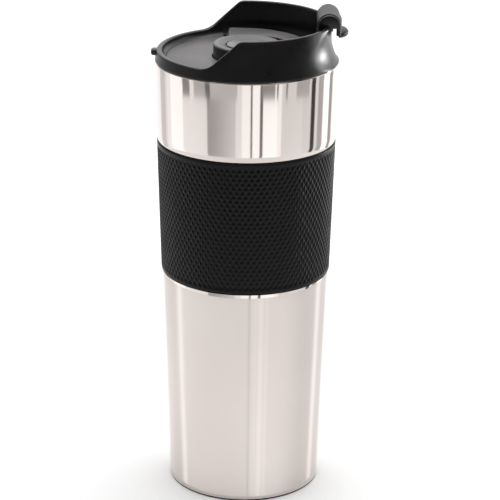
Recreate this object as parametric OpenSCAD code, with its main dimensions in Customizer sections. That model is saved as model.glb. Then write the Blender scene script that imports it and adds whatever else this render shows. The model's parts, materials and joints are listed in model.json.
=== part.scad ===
// Insulated travel mug with a flip-open press lid.
// The mug stands on Z = 0 and its axis is the Z axis.
// The drinking side faces -X, the hinge faces +X.

/* [Steel body] */
// Outer radius of the steel body at its rim
body_top_r = 40; // [38:0.5:42]
// Outer radius of the steel body at its base
body_base_r = 33.7; // [32:0.1:35]
// Height of the rim that the lid sits on
body_h = 195.9; // [190:0.1:210]
// How far the side wall swells outward at mid height
body_bulge = 0.37; // [0:0.01:0.6]
// Thickness of the steel sheet
steel_t = 0.6; // [0.5:0.1:0.8]
// Inner radius of the cup below its mouth
cup_r = 30.5; // [30:0.1:31]
// Inner radius of the cup's mouth
mouth_r = 36.6; // [36.4:0.1:36.8]

/* [Grip sleeve] */
// Height of the sleeve's lower edge
sleeve_low_z = 100.5; // [95:0.5:105]
// Height of the sleeve's upper edge
sleeve_high_z = 160.3; // [155:0.1:165]
// Thickness of the rubber
sleeve_t = 1.6; // [1.4:0.1:2]
// How far the rubber stands proud of the steel
sleeve_proud = 0.2; // [0.1:0.1:0.4]

/* [Lid collar] */
// Outer radius of the collar at its top edge
collar_top_r = 36.6; // [36.4:0.1:36.9]
// Outer radius of the collar at its bottom edge
collar_base_r = 40.1; // [40:0.1:40.5]
// Height of the collar's top edge at the rear
collar_top_z = 213.2; // [212.5:0.1:213.5]
// Height of the drinking lip at the front
lip_z = 200.6; // [200:0.1:201]
// X where the S-shaped edge leaves the drinking lip
ramp_start_x = -20.2; // [-22:0.1:-19]
// Steepness of the S-shaped edge, in degrees
ramp_angle = 42.5; // [40:0.5:48]

/* [Flap] */
// X of the hinge pin's axis
hinge_x = 35.2; // [35:0.1:35.6]
// Height of the hinge pin's axis
hinge_z = 213.5; // [213:0.1:213.8]
// Radius of the hinge barrel
barrel_r = 5.1; // [4.9:0.1:5.3]
// Half the length of the hinge barrel
barrel_half = 9; // [8:0.5:9]
// Radius of the front tray
tray_r = 34.8; // [34.5:0.1:34.8]
// Height of the tray's top face
tray_top_z = 197.5; // [197.3:0.1:197.6]
// Height of the ledge's top face
ledge_top_z = 201.4; // [200.5:0.1:201.6]
// Inner radius of the finger well round the knob
well_r = 21.2; // [20:0.1:22.5]

/* [Plunger] */
// Radius of the finger knob
knob_r = 14.7; // [14.5:0.1:14.8]
// Height of the knob's rim
knob_top_z = 203.3; // [203:0.1:203.5]
// Radius of the plunger rod
rod_r = 2.5; // [2:0.1:2.8]
// Radius of the filter plates
filter_r = 29; // [28:0.5:29]

/* [Hidden] */
$fn = 96;
eps = 0.01;
seam = 0.03;

// Steel body
foot_z = 0.6;
wall_steps = 8;
corner_r = 0.7;
rim_inner_r = mouth_r + steel_t;
recess_depth = sleeve_t - sleeve_proud;
recess_low_z = sleeve_low_z - 0.1;
recess_high_z = sleeve_high_z + 0.5;
cup_floor_z = 12;
cup_corner_r = 4;
mouth_low_z = 176;
mouth_step_z = 168;
cap_top_z = 3.6;
cap_r = 33.05;

// Lid
collar_bottom_z = body_h + 0.1;
flange_top_z = 197;
flange_r = 38;
funnel_r = 35.2;
lip_inner_r = 37;
edge_r = 0.7;
wall_in_top_r = 34.9;
notch_half = 9.3;
notch_floor_z = 210.3;
scoop_r = 24;
scoop_x = 36.6;
scoop_z = 207.6;
scoop_axis_x = -6;
collar_reach_x = 41.6;
ear_r = 4.7;
ear_out = 10.9;
ear_low_z = 211.2;
ear_over_z = 212.4;
ear_over_x = 36.8;
pin_r = 1.45;
deck_top_z = 195.4;
deck_t = 2;
plug_low_z = 180;
plug_r = 36;
plug_in_r = 33.4;
slot_x = -27;
slot_r = 4;
slot_half = 4;
vent_x = 27;
vent_r = 1.2;
gasket_low_z = 184;
gasket_high_z = 188.4;
groove_r = 34.6;
boss_low_z = 186;
seal_pocket = 7.2;
seal_r = 3.98;

// Flap
tray_low_z = 195.6;
tray_edge_x = -10;
tray_hole_r = 15.2;
ledge_r = 34.3;
ledge_axis_x = -5.8;
ledge_edge = 0.8;
step_slope = 2;
knuckle_r = 2.4;
gap_top_z = hinge_z - 1.1;
tab_z = 208.6;
tab_r = 1.8;
tab_plan_r = 6.5;
tab_reach_x = 43.9;
tab_low_x = 39.6;
arch_open_x = hinge_x - 1.5;
leg_low_z = 208.6;
leg_out_r = 40.9;
leg_t = 1.8;

// Plunger
dish_r = 9.2;
dish_z = knob_top_z - 1.8;
plate_t = 0.8;
filter_z = 20;
rod_low_z = 16;
rod_top_z = 200.5;

// Outer radius of the steel body at height z.
function wall_r(z) =
    let (t = z / body_h)
    body_base_r + (body_top_r - body_base_r) * t + 4 * body_bulge * t * (1 - t);

// Points of the side wall from height a to height b, moved inward by d.
function wall(a, b, d) = [
    for (i = [0:wall_steps])
        let (z = a + (b - a) * i / wall_steps)
        [wall_r(z) - d, z]
];

// Points of an arc round (x, y).
function arc(x, y, r, a, b, n = 6) = [
    for (i = [0:n])
        let (t = a + (b - a) * i / n)
        [x + r * cos(t), y + r * sin(t)]
];

function reversed(p) = [for (i = [len(p) - 1:-1:0]) p[i]];

// The shell's side outline from foot to rim at depth d, with the sleeve's recess.
function shell_side(d) = concat(
    wall(foot_z, recess_low_z - d, d),
    wall(recess_low_z - d, recess_high_z + d, d + recess_depth),
    wall(recess_high_z + d, body_h - corner_r, d)
);

module outer_shell() {
    rim_z = body_h - corner_r;
    rim_r = wall_r(rim_z) - corner_r;
    color([0.86, 0.85, 0.84])
    rotate_extrude()
    polygon(concat(
        shell_side(0),
        arc(rim_r, rim_z, corner_r, 0, 90),
        [[rim_inner_r, body_h], [rim_inner_r, body_h - steel_t]],
        reversed(arc(rim_r, rim_z, corner_r - steel_t, 0, 90)),
        reversed(shell_side(steel_t))
    ));
}

module inner_liner() {
    in_r = cup_r;
    out_r = cup_r + steel_t;
    corner_z = cup_floor_z + cup_corner_r;
    color([0.8, 0.8, 0.8])
    rotate_extrude()
    polygon(concat(
        [[0, cup_floor_z]],
        arc(in_r - cup_corner_r, corner_z, cup_corner_r, -90, 0),
        [
            [in_r, mouth_step_z], [mouth_r, mouth_low_z], [mouth_r, body_h],
            [rim_inner_r - seam, body_h], [rim_inner_r - seam, mouth_low_z], [out_r, mouth_step_z]
        ],
        reversed(arc(in_r - cup_corner_r, corner_z, cup_corner_r + steel_t, -90, 0)),
        [[0, cup_floor_z - steel_t]]
    ));
}

module base_cap() {
    color([0.75, 0.75, 0.75])
    rotate_extrude()
    polygon([
        [0, cap_top_z - steel_t], [cap_r - steel_t, cap_top_z - steel_t], [cap_r - steel_t, 1],
        [cap_r, 1], [cap_r, cap_top_z], [0, cap_top_z]
    ]);
}

// Rubber disc with a ring-shaped groove in its underside.
module foot_pad() {
    pad_r = 33.4;
    plug_in_cap_r = 32.2;
    shoulder_z = foot_z - 0.02;
    top_z = cap_top_z - steel_t;
    groove = [[25, 0], [25.6, 0.8], [27.4, 0.8], [28, 0]];
    color([0.08, 0.08, 0.08])
    rotate_extrude()
    polygon(concat(
        [[0, 0]],
        groove,
        [
            [pad_r - 0.4, 0], [pad_r, 0.2], [pad_r, shoulder_z], [plug_in_cap_r, shoulder_z],
            [plug_in_cap_r, top_z], [0, top_z]
        ]
    ));
}

module getter_capsule() {
    capsule_r = 5;
    side_h = 2.4;
    crown_h = 0.8;
    color([0.5, 0.5, 0.5])
    translate([14, 0, cap_top_z]) {
        cylinder(h = side_h, r = capsule_r);
        translate([0, 0, side_h]) cylinder(h = crown_h, r1 = capsule_r, r2 = capsule_r - crown_h);
    }
}

module grip_sleeve() {
    bevel = 0.6;
    color([0.06, 0.06, 0.06])
    rotate_extrude()
    polygon(concat(
        [[wall_r(sleeve_low_z) - recess_depth + 0.05, sleeve_low_z]],
        [[wall_r(sleeve_low_z) + sleeve_proud - bevel, sleeve_low_z]],
        wall(sleeve_low_z + bevel, sleeve_high_z - bevel, -sleeve_proud),
        [[wall_r(sleeve_high_z) + sleeve_proud - bevel, sleeve_high_z]],
        reversed(wall(sleeve_low_z, sleeve_high_z, recess_depth - 0.05))
    ));
}

module lid_gasket() {
    seat_r = groove_r + 0.1;
    back_r = seat_r + 0.9;
    lip_r = mouth_r - 0.1;
    low = gasket_low_z + 0.1;
    high = gasket_high_z - 0.1;
    color([0.9, 0.9, 0.88])
    rotate_extrude()
    polygon([
        [seat_r, low], [back_r, low], [lip_r, low + 0.5], [back_r, low + 1.5],
        [back_r, high - 1.5], [lip_r, high - 0.5], [back_r, high], [seat_r, high]
    ]);
}

// Solid that lies above the lid's S-shaped edge.
module above_edge() {
    low_r = 9;
    high_r = 4;
    low_end = [ramp_start_x + low_r * sin(ramp_angle), lip_z + low_r * (1 - cos(ramp_angle))];
    rise = collar_top_z - high_r * (1 - cos(ramp_angle)) - low_end[1];
    high_start_x = low_end[0] + rise / tan(ramp_angle);
    high_x = high_start_x + high_r * sin(ramp_angle);
    rotate([90, 0, 0])
    linear_extrude(height = 100, center = true)
    polygon(concat(
        [[-60, lip_z]],
        arc(ramp_start_x, lip_z + low_r, low_r, -90, ramp_angle - 90, 8),
        arc(high_x, collar_top_z - high_r, high_r, 90 + ramp_angle, 90, 6),
        [[60, collar_top_z], [60, 240], [-60, 240]]
    ));
}

// Ring of round section whose inside cuts the thumb scoop at the rear of the collar.
module scoop() {
    translate([scoop_axis_x, 0, scoop_z])
    rotate_extrude()
    translate([scoop_x - scoop_axis_x + scoop_r, 0])
    circle(r = scoop_r);
}

// Space inside the collar: a wall that leans inward over a funnel.
module collar_cavity() {
    rotate_extrude()
    polygon([
        [0, collar_bottom_z - 1], [flange_r + 0.05, collar_bottom_z - 1],
        [flange_r + 0.05, flange_top_z + 0.05], [funnel_r, flange_top_z + 0.05],
        [funnel_r, tray_top_z], [lip_inner_r, lip_z - 0.2],
        [wall_in_top_r, collar_top_z - 1.2], [wall_in_top_r + 0.5, collar_top_z + 1],
        [0, collar_top_z + 1]
    ]);
}

// Round ears that carry the hinge pin; outside the collar's wall they are cut off higher.
module ears() {
    for (side = [-1, 1]) {
        translate([0, side * (notch_half + ear_out) / 2, 0])
        rotate([90, 0, 0])
        linear_extrude(height = ear_out - notch_half, center = true)
        intersection() {
            translate([hinge_x, hinge_z]) circle(r = ear_r);
            union() {
                translate([hinge_x - 10, ear_low_z]) square([ear_over_x - hinge_x + 10, 20]);
                translate([hinge_x - 10, ear_over_z]) square([20, 20]);
            }
        }
    }
}

// Small raised mark at the middle of the drinking side.
module nub() {
    nub_r = 2.4;
    nub_w = 5;
    nub_low_z = 197.6;
    nub_high_z = 200.5;
    intersection() {
        translate([nub_r - collar_reach_x, 0, (nub_low_z + nub_high_z) / 2])
        rotate([90, 0, 0])
        cylinder(h = nub_w, r = nub_r, center = true);
        translate([-collar_reach_x - 1, -nub_w, nub_low_z])
        cube([4.6, 2 * nub_w, nub_high_z - nub_low_z]);
    }
}

module lid_collar() {
    color([0.09, 0.09, 0.09])
    difference() {
        union() {
            difference() {
                rotate_extrude()
                polygon(concat(
                    [
                        [0, collar_bottom_z], [collar_base_r, collar_bottom_z],
                        [collar_top_r, collar_top_z - edge_r]
                    ],
                    arc(collar_top_r - edge_r, collar_top_z - edge_r, edge_r, 0, 90, 5),
                    [[0, collar_top_z]]
                ));
                collar_cavity();
                above_edge();
                scoop();
                translate([25, -notch_half, notch_floor_z])
                cube([20, 2 * notch_half, 20]);
            }
            ears();
            nub();
        }
        translate([hinge_x, 0, hinge_z])
        rotate([90, 0, 0])
        cylinder(h = 30, r = pin_r + 0.02, center = true);
    }
}

module drink_slot(grow, h) {
    for (side = [-1, 1]) {
        translate([slot_x, side * slot_half, 0]) cylinder(h = h, r = slot_r + grow);
    }
    translate([slot_x - slot_r - grow, -slot_half, 0])
    cube([2 * (slot_r + grow), 2 * slot_half, h]);
}

module lid_plug() {
    deck_low_z = deck_top_z - deck_t;
    boss_r = 7;
    color([0.1, 0.1, 0.1])
    difference() {
        union() {
            rotate_extrude()
            polygon([
                [0, deck_low_z], [plug_in_r, deck_low_z], [plug_in_r, plug_low_z],
                [plug_r - 0.8, plug_low_z], [plug_r, plug_low_z + 0.8],
                [plug_r, gasket_low_z], [groove_r, gasket_low_z],
                [groove_r, gasket_high_z], [plug_r, gasket_high_z],
                [plug_r, collar_bottom_z], [flange_r, collar_bottom_z],
                [flange_r, flange_top_z], [funnel_r, flange_top_z], [funnel_r, deck_top_z],
                [0, deck_top_z]
            ]);
            translate([0, 0, boss_low_z]) cylinder(h = deck_low_z - boss_low_z + eps, r = boss_r);
        }
        translate([0, 0, boss_low_z - 1]) cylinder(h = 1 + seal_pocket, r = seal_r + 0.02);
        translate([0, 0, boss_low_z - 1]) cylinder(h = 20, r = rod_r + 0.4);
        translate([0, 0, deck_low_z - 1]) drink_slot(0, deck_t + 2);
        translate([vent_x, 0, deck_low_z - 1]) cylinder(h = deck_t + 2, r = vent_r);
    }
}

module hinge_pin() {
    color([0.7, 0.7, 0.7])
    translate([hinge_x, 0, hinge_z])
    rotate([90, 0, 0])
    cylinder(h = 2 * ear_out - 0.8, r = pin_r, center = true);
}

// Seal that the plunger rod slides through.
module rod_seal() {
    in_r = rod_r + 0.06;
    low_z = boss_low_z + 0.2;
    high_z = boss_low_z + seal_pocket - 0.1;
    color([0.9, 0.9, 0.88])
    rotate_extrude()
    polygon([
        [in_r, low_z + 0.4], [seal_r - 0.58, low_z], [seal_r, low_z], [seal_r, high_z],
        [in_r, high_z]
    ]);
}

module tray() {
    difference() {
        translate([0, 0, tray_low_z])
        cylinder(h = tray_top_z - tray_low_z, r1 = tray_r - 0.8, r2 = tray_r);
        translate([0, 0, tray_low_z - 1]) cylinder(h = 5, r = tray_hole_r);
        translate([tray_edge_x, -50, tray_low_z - 1]) cube([100, 100, 5]);
    }
}

// C-shaped ledge round the finger well, with a sloped step down to the tray.
module ledge() {
    rear_shift = 1.5;
    depth = ledge_top_z - tray_low_z;
    difference() {
        intersection() {
            translate([ledge_axis_x, 0, tray_low_z]) {
                cylinder(h = depth - ledge_edge, r = ledge_r);
                translate([0, 0, depth - ledge_edge])
                cylinder(h = ledge_edge, r1 = ledge_r, r2 = ledge_r - ledge_edge);
            }
            translate([0, 0, tray_low_z]) cylinder(h = depth, r = tray_r - ledge_edge / 2);
        }
        for (shift = [0, rear_shift]) {
            translate([shift, 0, tray_low_z - 1]) cylinder(h = depth + 2, r = well_r);
        }
        rotate([90, 0, 0])
        linear_extrude(height = 100, center = true)
        polygon([
            [-60, tray_low_z - 1], [tray_edge_x, tray_low_z - 1], [tray_edge_x, tray_top_z],
            [tray_edge_x + step_slope, ledge_top_z], [tray_edge_x + step_slope, ledge_top_z + 1],
            [-60, ledge_top_z + 1]
        ]);
    }
}

// Arm that joins the ledge to the hinge barrel.
module neck() {
    front_x = 25;
    rear_x = arch_open_x - 0.1;
    root_z = ledge_top_z - 2;
    fillet_r = 5.2;
    rotate([90, 0, 0])
    linear_extrude(height = 2 * barrel_half, center = true)
    polygon(concat(
        [[front_x, root_z], [rear_x, root_z], [rear_x, hinge_z - barrel_r + 1.5]],
        [[hinge_x, hinge_z], [hinge_x - barrel_r + 0.4, hinge_z - 1]],
        arc(front_x, root_z + fillet_r + 2.4, fillet_r, 0, -75, 5)
    ));
}

// Strap that runs down outside the collar and ends in the thumb tab.
module thumb_tab() {
    tab_axis_x = tab_reach_x - tab_plan_r;
    intersection() {
        translate([0, 0, leg_low_z])
        difference() {
            cylinder(h = hinge_z + 1 - leg_low_z, r = leg_out_r);
            translate([0, 0, -1]) cylinder(h = 20, r = leg_out_r - leg_t);
        }
        translate([hinge_x, -barrel_half, leg_low_z - 1]) cube([20, 2 * barrel_half, 20]);
    }
    intersection() {
        translate([tab_axis_x, 0, tab_z])
        rotate_extrude()
        union() {
            translate([0, -tab_r]) square([tab_plan_r - tab_r, 2 * tab_r]);
            intersection() {
                translate([tab_plan_r - tab_r, 0]) circle(r = tab_r);
                translate([0, -5]) square([30, 10]);
            }
        }
        translate([tab_low_x, -10, tab_z - 5]) cube([10, 20, 10]);
    }
}

// Barrel that arches over the hinge pin; its rear half is open below the arch.
module hinge_arch() {
    translate([hinge_x, 0, hinge_z])
    rotate([90, 0, 0])
    linear_extrude(height = 2 * barrel_half, center = true) {
        circle(r = knuckle_r);
        difference() {
            circle(r = barrel_r);
            translate([arch_open_x - hinge_x, gap_top_z - hinge_z - barrel_r])
            square([barrel_r + 2, barrel_r]);
        }
    }
}

module drink_flap() {
    color([0.11, 0.11, 0.11])
    difference() {
        union() {
            tray();
            ledge();
            neck();
            thumb_tab();
            hinge_arch();
        }
        translate([hinge_x, 0, hinge_z])
        rotate([90, 0, 0])
        cylinder(h = 40, r = pin_r + 0.05, center = true);
    }
}

module flap_stopper() {
    depth = 2;
    top_r = slot_r - 0.5;
    low_r = top_r - 0.8;
    color([0.85, 0.85, 0.83])
    translate([slot_x, 0, tray_low_z - depth]) {
        for (side = [-1, 1]) {
            translate([0, side * slot_half, 0]) cylinder(h = depth, r1 = low_r, r2 = top_r);
        }
        rotate([90, 0, 0])
        linear_extrude(height = 2 * slot_half, center = true)
        polygon([[-low_r, 0], [low_r, 0], [top_r, depth], [-top_r, depth]]);
    }
}

module plunger_knob() {
    low_z = deck_top_z + 0.3;
    wall_in_r = knob_r - 1.6;
    under_z = dish_z - 2;
    rim_r = 1;
    hub_r = 5;
    bore_r = rod_r + 0.02;
    color([0.12, 0.12, 0.12])
    rotate_extrude()
    polygon(concat(
        [[wall_in_r, low_z], [knob_r, low_z]],
        arc(knob_r - rim_r, knob_top_z - rim_r, rim_r, 0, 90, 5),
        [
            [knob_r - 2.4, knob_top_z - 0.2], [dish_r, knob_top_z - 0.9], [dish_r, dish_z],
            [bore_r, dish_z], [bore_r, low_z], [hub_r, low_z], [hub_r, under_z],
            [wall_in_r, under_z]
        ]
    ));
}

module knob_cap() {
    disc_r = dish_r - 0.4;
    round_r = 0.4;
    color([0.14, 0.14, 0.14])
    rotate_extrude()
    polygon(concat(
        [[0, dish_z], [disc_r, dish_z]],
        arc(disc_r - round_r, knob_top_z - 1, round_r, 0, 90, 4),
        [[0, knob_top_z - 0.4]]
    ));
}

module plunger_rod() {
    color([0.8, 0.8, 0.8])
    translate([0, 0, rod_low_z]) {
        cylinder(h = 1, r1 = rod_r - 0.6, r2 = rod_r);
        translate([0, 0, 1]) cylinder(h = rod_top_z - rod_low_z - 1, r = rod_r);
    }
}

// Plate with rings of holes; each ring is given as its radius and its count of holes.
module filter_top_plate() {
    hole_rings = [[10, 9], [16, 15], [22, 21]];
    hole_r = 1.8;
    color([0.78, 0.78, 0.78])
    difference() {
        translate([0, 0, filter_z + 3]) cylinder(h = plate_t, r = filter_r - 1.5);
        cylinder(h = 40, r = rod_r);
        for (ring = hole_rings) {
            for (i = [0:ring[1] - 1]) {
                rotate([0, 0, 360 * i / ring[1]])
                translate([ring[0], 0, 0])
                cylinder(h = 40, r = hole_r, $fn = 24);
            }
        }
    }
}

module filter_spring() {
    wire_r = 0.9;
    color([0.7, 0.7, 0.7])
    translate([0, 0, filter_z + 2])
    rotate_extrude()
    translate([filter_r, 0])
    circle(r = wire_r, $fn = 32);
}

module filter_mesh() {
    color([0.65, 0.65, 0.65])
    translate([0, 0, filter_z + plate_t - 0.1])
    difference() {
        cylinder(h = 0.3, r = filter_r);
        translate([0, 0, -1]) cylinder(h = 3, r = rod_r);
    }
}

module filter_cross_plate() {
    arms = 4;
    arm_w = 6;
    hub_r = 8;
    rim_w = 4;
    rim_out_r = filter_r - 2;
    color([0.78, 0.78, 0.78])
    translate([0, 0, filter_z - 0.1])
    difference() {
        union() {
            cylinder(h = plate_t, r = hub_r);
            difference() {
                cylinder(h = plate_t, r = rim_out_r);
                translate([0, 0, -1]) cylinder(h = 3, r = rim_out_r - rim_w);
            }
            for (i = [0:arms / 2 - 1]) {
                rotate([0, 0, 360 * i / arms])
                translate([rim_w / 2 - rim_out_r, -arm_w / 2, 0])
                cube([2 * rim_out_r - rim_w, arm_w, plate_t]);
            }
        }
        translate([0, 0, -1]) cylinder(h = 3, r = rod_r);
    }
}

module filter_nut() {
    nut_r = 5;
    nut_h = 3;
    color([0.8, 0.8, 0.8])
    translate([0, 0, filter_z - nut_h - 0.1])
    difference() {
        cylinder(h = nut_h, r = nut_r, $fn = 6);
        translate([0, 0, -1]) cylinder(h = 5, r = rod_r + seam);
    }
}

outer_shell();
inner_liner();
base_cap();
foot_pad();
getter_capsule();
grip_sleeve();
lid_gasket();
lid_collar();
lid_plug();
hinge_pin();
rod_seal();
drink_flap();
flap_stopper();
plunger_knob();
knob_cap();
plunger_rod();
filter_top_plate();
filter_spring();
filter_mesh();
filter_cross_plate();
filter_nut();
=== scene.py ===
import json
from math import acos, asin, atan2, cos, degrees, exp, pi, radians, sin, sqrt, tan

import bmesh
import bpy
from mathutils import Matrix, Vector


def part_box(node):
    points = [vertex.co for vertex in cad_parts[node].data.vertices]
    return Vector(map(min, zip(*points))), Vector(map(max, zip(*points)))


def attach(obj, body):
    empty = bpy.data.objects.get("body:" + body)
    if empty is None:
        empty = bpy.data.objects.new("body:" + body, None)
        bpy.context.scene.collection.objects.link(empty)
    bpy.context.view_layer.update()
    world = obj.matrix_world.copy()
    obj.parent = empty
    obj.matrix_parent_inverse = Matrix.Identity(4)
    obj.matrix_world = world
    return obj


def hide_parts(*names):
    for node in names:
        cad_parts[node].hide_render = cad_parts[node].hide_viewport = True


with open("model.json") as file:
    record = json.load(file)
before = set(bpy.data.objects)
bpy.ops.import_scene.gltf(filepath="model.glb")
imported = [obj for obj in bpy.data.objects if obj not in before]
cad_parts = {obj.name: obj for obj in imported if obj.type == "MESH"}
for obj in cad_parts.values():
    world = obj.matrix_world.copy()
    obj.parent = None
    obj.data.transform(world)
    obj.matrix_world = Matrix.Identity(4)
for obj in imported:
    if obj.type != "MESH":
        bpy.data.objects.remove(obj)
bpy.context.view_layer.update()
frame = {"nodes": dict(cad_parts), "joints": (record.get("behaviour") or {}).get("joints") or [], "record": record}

MM = 0.001

# ---------------------------------------------------------------------------
# Sizes in millimetres. The mug stands on z = 0 and its axis is the Z axis.
# The drinking side faces -X and the hinge faces +X.
# ---------------------------------------------------------------------------


def span(node, axis):
    """Lowest and highest coordinate of a CAD node along an axis, in millimetres."""
    low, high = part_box(node)
    return low[axis] / MM, high[axis] / MM


# Steel body
SHELL_LOW_Z, BODY_H = span("outer_shell", 2)
BODY_TOP_R = 40.0
BODY_BASE_R = 33.7
BODY_BULGE = 0.37  # how far the wall swells outward at mid height
STEEL_T = 0.6
RIM_INNER_R = 37.23

# Sleeve, measured from the line of the steel wall
SLEEVE_LOW_Z, SLEEVE_HIGH_Z = span("grip_sleeve", 2)
SLEEVE_PROUD = 0.2
SLEEVE_INNER = 1.35
RECESS_DEPTH = 1.4

# Hinge pin
hinge = [j for j in frame["joints"] if j["name"] == "flap_hinge"][0]
HINGE_X = hinge["pos_m"][0] / MM
HINGE_Z = hinge["pos_m"][2] / MM

# Lid collar
COLLAR_LOW_Z, _ = span("lid_collar", 2)
COLLAR_TOP_Z = 213.2
COLLAR_BASE_R = 40.1
COLLAR_TOP_R = 36.6
FLANGE_R = 38.05
FLANGE_TOP_Z = 197.05
FUNNEL_R = 35.2
FLOOR_Z = 197.5
LIP_Z = 200.6  # height of the drinking lip
NOTCH_HALF = 9.3  # half the width of the notch under the hinge
NOTCH_Z = 210.3

# Plunger knob
KNOB_R = 14.7
KNOB_LOW_Z, KNOB_TOP_Z = span("plunger_knob", 2)


# ---------------------------------------------------------------------------
# Outlines and meshes
# ---------------------------------------------------------------------------


def body_r(z):
    """Outer radius of the steel wall at height z."""
    t = z / BODY_H
    return BODY_BASE_R + (BODY_TOP_R - BODY_BASE_R) * t + 4 * BODY_BULGE * t * (1 - t)


def smooth(t):
    """Smooth step from 0 to 1."""
    t = min(max(t, 0.0), 1.0)
    return t * t * (3 - 2 * t)


def rounded(corners, steps=5):
    """A closed outline through corners (x, y, radius), each corner rounded to its radius."""
    points = []
    count = len(corners)
    for i, (x, y, r) in enumerate(corners):
        if r <= 0:
            points.append((x, y))
            continue
        here = Vector((x, y))
        before = Vector(corners[i - 1][:2]) - here
        after = Vector(corners[(i + 1) % count][:2]) - here
        half = before.angle(after) / 2
        reach = min(r / tan(half), 0.49 * before.length, 0.49 * after.length)
        radius = reach * tan(half)
        inward = (before.normalized() + after.normalized()).normalized()
        middle = here + inward * (radius / sin(half))
        start = here + before.normalized() * reach - middle
        end = here + after.normalized() * reach - middle
        turn = atan2(start.x * end.y - start.y * end.x, start.dot(end))
        for k in range(steps + 1):
            a = turn * k / steps
            points.append((
                middle.x + start.x * cos(a) - start.y * sin(a),
                middle.y + start.x * sin(a) + start.y * cos(a),
            ))
    return points


def finish_mesh(name, bm, crease_deg=40):
    """Makes an object of a bmesh in millimetres. Faces are smooth, and edges that turn by more
    than crease_deg stay sharp."""
    same_point = 1e-4
    bmesh.ops.remove_doubles(bm, verts=bm.verts, dist=same_point)
    bmesh.ops.recalc_face_normals(bm, faces=bm.faces)
    mesh = bpy.data.meshes.new(name)
    bm.to_mesh(mesh)
    bm.free()
    mesh.transform(Matrix.Scale(MM, 4))
    mesh.shade_smooth()
    mesh.set_sharp_from_angle(angle=radians(crease_deg))
    obj = bpy.data.objects.new(name, mesh)
    bpy.context.scene.collection.objects.link(obj)
    return obj


def add_grid(bm, rows):
    """Adds a surface through rows of points; it closes on itself both ways."""
    grid = [[bm.verts.new(p) for p in row] for row in rows]
    for i, row in enumerate(grid):
        below = grid[i - 1]
        for j in range(len(row)):
            bm.faces.new((below[j - 1], below[j], row[j], row[j - 1]))


def lathe(name, outline, steps=192, crease_deg=40):
    """Makes an object of a closed outline of (r, z) points turned round Z."""
    rows = []
    for r, z in outline:
        row = []
        for k in range(steps):
            a = 2 * pi * k / steps
            row.append((r * cos(a), r * sin(a), z))
        rows.append(row)
    bm = bmesh.new()
    add_grid(bm, rows)
    return finish_mesh(name, bm, crease_deg)


def add_slab(bm, outline, low, high, edge, place=Matrix.Identity(4), segments=3, slope=None):
    """Adds an outline of (x, y) points, raised from low to high, with its edges rounded.
    Slope moves each top point to a new place."""
    sharp_angle = radians(35)
    part = bmesh.new()
    bottom = [part.verts.new((x, y, low)) for x, y in outline]
    face = part.faces.new(bottom)
    top = bmesh.ops.extrude_face_region(part, geom=[face])["geom"]
    for vert in top:
        if isinstance(vert, bmesh.types.BMVert):
            vert.co.z = high
            if slope:
                vert.co.x, vert.co.y = slope(vert.co.x, vert.co.y)
    bmesh.ops.recalc_face_normals(part, faces=part.faces)
    if edge > 0:
        sharp = [e for e in part.edges if e.calc_face_angle(0) > sharp_angle]
        bmesh.ops.bevel(
            part, geom=sharp, offset=edge, segments=segments, profile=0.5, affect="EDGES",
            clamp_overlap=True,
        )
    bmesh.ops.transform(part, matrix=place, verts=part.verts)
    mesh = bpy.data.meshes.new("slab")
    part.to_mesh(mesh)
    part.free()
    bm.from_mesh(mesh)
    bpy.data.meshes.remove(mesh)


def arc_points(x, y, r, start_deg, end_deg, steps):
    """Points on an arc round (x, y), both ends included."""
    points = []
    for k in range(steps + 1):
        a = radians(start_deg + (end_deg - start_deg) * k / steps)
        points.append((x + r * cos(a), y + r * sin(a)))
    return points


def fuse(obj, voxel, rounds):
    """Fuses overlapping parts of an object into one skin and softens its inner corners.
    Voxel is the skin's mesh size in millimetres."""
    remesh = obj.modifiers.new("fuse", "REMESH")
    remesh.mode = "VOXEL"
    remesh.voxel_size = voxel * MM
    soften = obj.modifiers.new("soften", "SMOOTH")
    soften.factor = 0.5
    soften.iterations = rounds
    depsgraph = bpy.context.evaluated_depsgraph_get()
    mesh = bpy.data.meshes.new_from_object(obj.evaluated_get(depsgraph))
    obj.modifiers.clear()
    obj.data = mesh
    mesh.shade_smooth()


# ---------------------------------------------------------------------------
# Materials
# ---------------------------------------------------------------------------


# The part of a noise texture's range that holds most of its values
NOISE_LOW = 0.3
NOISE_HIGH = 0.7


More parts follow.
